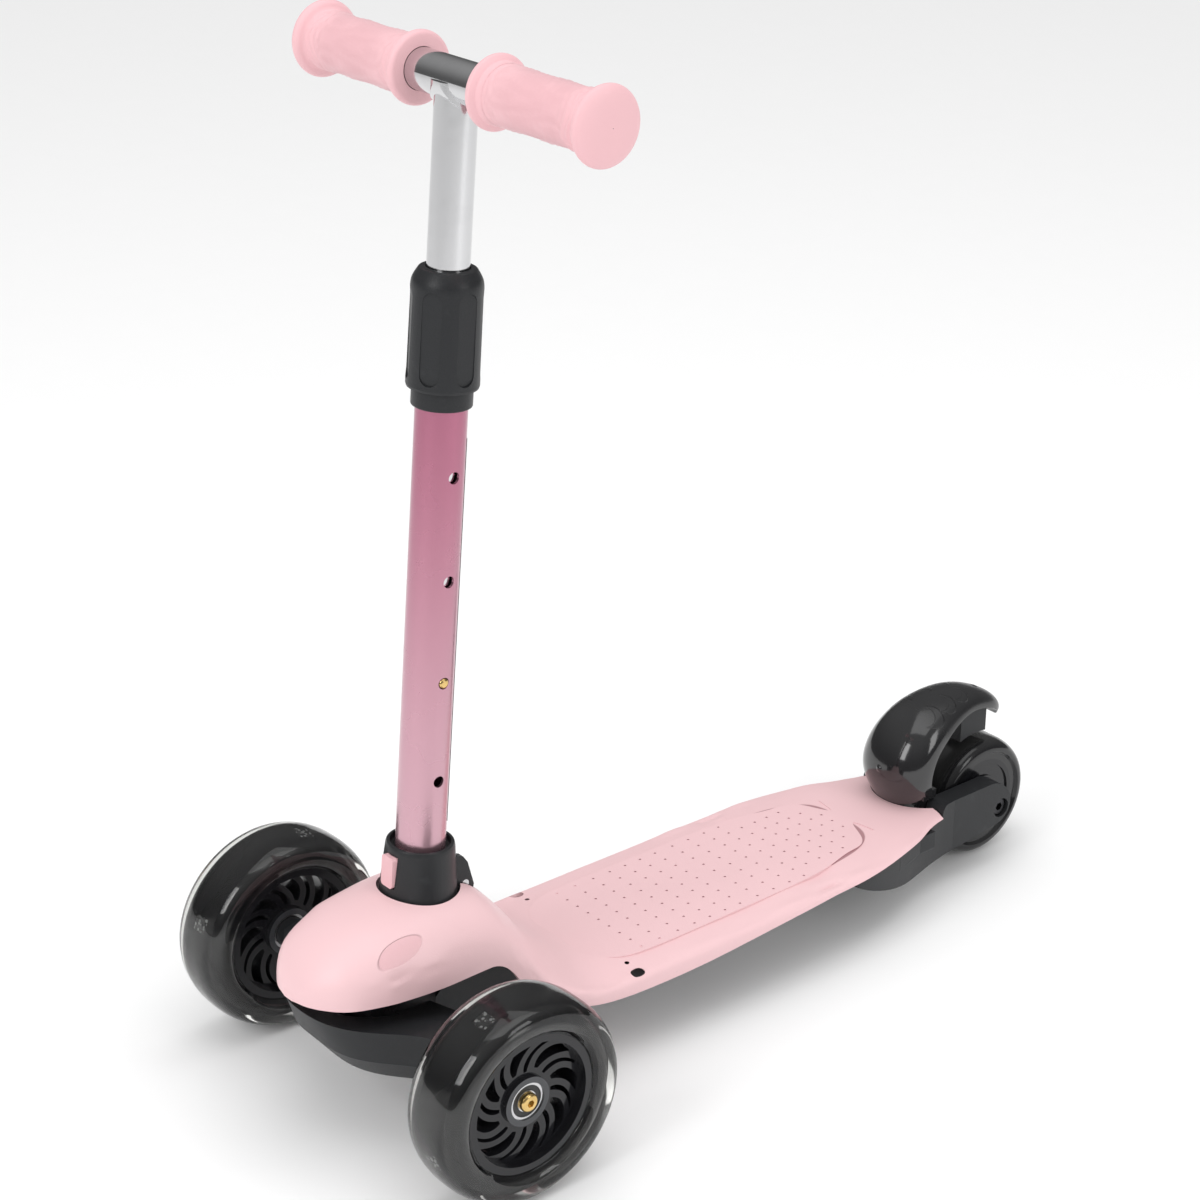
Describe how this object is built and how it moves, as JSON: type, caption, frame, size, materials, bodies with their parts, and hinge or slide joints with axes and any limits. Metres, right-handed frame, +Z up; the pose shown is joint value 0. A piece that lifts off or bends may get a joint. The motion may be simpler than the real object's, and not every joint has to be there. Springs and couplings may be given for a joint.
{
  "type": "kick scooter",
  "caption": "Child's lean-to-steer kick scooter with two clear front wheels, a rear wheel with a foot brake, a folding stem and a height-adjustable T handlebar.",
  "frame": {"origin": "on the ground, in the middle of the footprint", "axes": "+Z up, -Y the way it rolls, +X the rider's left"},
  "size_m": [0.264, 0.5659, 0.5914],
  "materials": {
    "pink_plastic": "satin, finely textured",
    "pink_rubber": "soft, matt",
    "black_plastic": "fine spark texture",
    "gloss_black": "polished",
    "clear_tread": "clear cast urethane, smooth",
    "rose_tube": "rose anodised",
    "chrome_tube": "polished chrome",
    "steel": "ground",
    "dark_steel": "black oxide",
    "brass": "yellow zinc and brass",
    "black_tyre": "smooth black urethane",
    "light_module": "clear epoxy over a light",
    "black_rubber": "moulded",
    "weld": "polished bead"
  },
  "bodies": {
    "deck": {"deck_board": "pink_plastic", "deck_screws": "steel", "chassis": "black_plastic", "pivot_bolt": "dark_steel", "pivot_nut": "steel", "fold_pin": "steel", "rear_axle_bolt": "dark_steel", "rear_axle_nut": "dark_steel", "rear_spacer": "steel", "brake_pin": "steel", "brake_spring": "steel"},
    "beam": {"steering_beam": "black_plastic", "pivot_bush_upper": "black_rubber", "pivot_bush_lower": "black_rubber", "axle_sleeve_left": "steel", "axle_sleeve_right": "steel", "wheel_screw_left": "brass", "wheel_screw_right": "brass", "magnet_spacer_left": "dark_steel", "magnet_spacer_right": "dark_steel"},
    "wheel_left": {"tyre_left": "clear_tread", "wheel_core_left": "gloss_black", "wheel_lights_left": "light_module", "bearing_outer_left": "steel", "bearing_inner_left": "steel"},
    "wheel_right": {"tyre_right": "clear_tread", "wheel_core_right": "gloss_black", "wheel_lights_right": "light_module", "bearing_outer_right": "steel", "bearing_inner_right": "steel"},
    "wheel_rear": {"tyre_rear": "black_tyre", "wheel_core_rear": "gloss_black", "bearing_rear_left": "steel", "bearing_rear_right": "steel"},
    "brake": {"brake_fender": "gloss_black", "brake_pad": "black_plastic"},
    "stem": {"stem_collar": "black_plastic", "stem_tube": "rose_tube", "stem_strip": "gloss_black", "clamp_collet": "black_plastic", "latch_leaf": "steel"},
    "button": {"fold_button": "pink_plastic"},
    "clamp": {"clamp_sleeve": "black_plastic"},
    "bar": {"height_tube": "chrome_tube", "height_bush": "black_plastic", "crossbar": "chrome_tube", "bar_weld": "weld", "grip_left": "pink_rubber", "grip_right": "pink_rubber", "height_stud": "brass", "height_spring": "steel"}
  },
  "joints": [
    {"name": "steer", "type": "hinge", "parent": "deck", "child": "beam", "pos_m": [0, -0.21405, 0.062], "axis": [0, -0.7071, 0.7071], "range_deg": [-12, 12], "stiffness_Nm_per_rad": 30},
    {"name": "front_wheel_left", "type": "hinge", "parent": "beam", "child": "wheel_left", "pos_m": [0.1114, -0.21605, 0.06], "axis": [1, 0, 0], "continuous": true},
    {"name": "front_wheel_right", "type": "hinge", "parent": "beam", "child": "wheel_right", "pos_m": [-0.1114, -0.21605, 0.06], "axis": [1, 0, 0], "continuous": true},
    {"name": "rear_wheel", "type": "hinge", "parent": "deck", "child": "wheel_rear", "pos_m": [0, 0.24305, 0.04], "axis": [1, 0, 0], "continuous": true},
    {"name": "foot_brake", "type": "hinge", "parent": "deck", "child": "brake", "pos_m": [0, 0.18595, 0.048], "axis": [-1, 0, 0], "range_deg": [0, 4], "stiffness_Nm_per_rad": 4, "springref_deg": -5.73},
    {"name": "stem_fold", "type": "hinge", "parent": "deck", "child": "stem", "pos_m": [0, -0.17005, 0.124], "axis": [-1, 0, 0], "range_deg": [0, 85], "deforming": ["latch_leaf"]},
    {"name": "release_button", "type": "slide", "parent": "stem", "child": "button", "axis": [0, 0.9966, -0.0819], "range_m": [0, 0.0018], "stiffness_N_per_m": 800, "springref_m": -0.002, "deforming": ["latch_leaf"]},
    {"name": "clamp_twist", "type": "hinge", "parent": "stem", "child": "clamp", "pos_m": [0, -0.16901, 0.44389], "axis": [0, 0.0819, 0.9966], "range_deg": [0, 90]},
    {"name": "bar_height", "type": "slide", "parent": "stem", "child": "bar", "axis": [0, 0.0819, 0.9966], "range_m": [-0.0576, 0.1152], "deforming": ["height_spring", "height_stud"]}
  ]
}
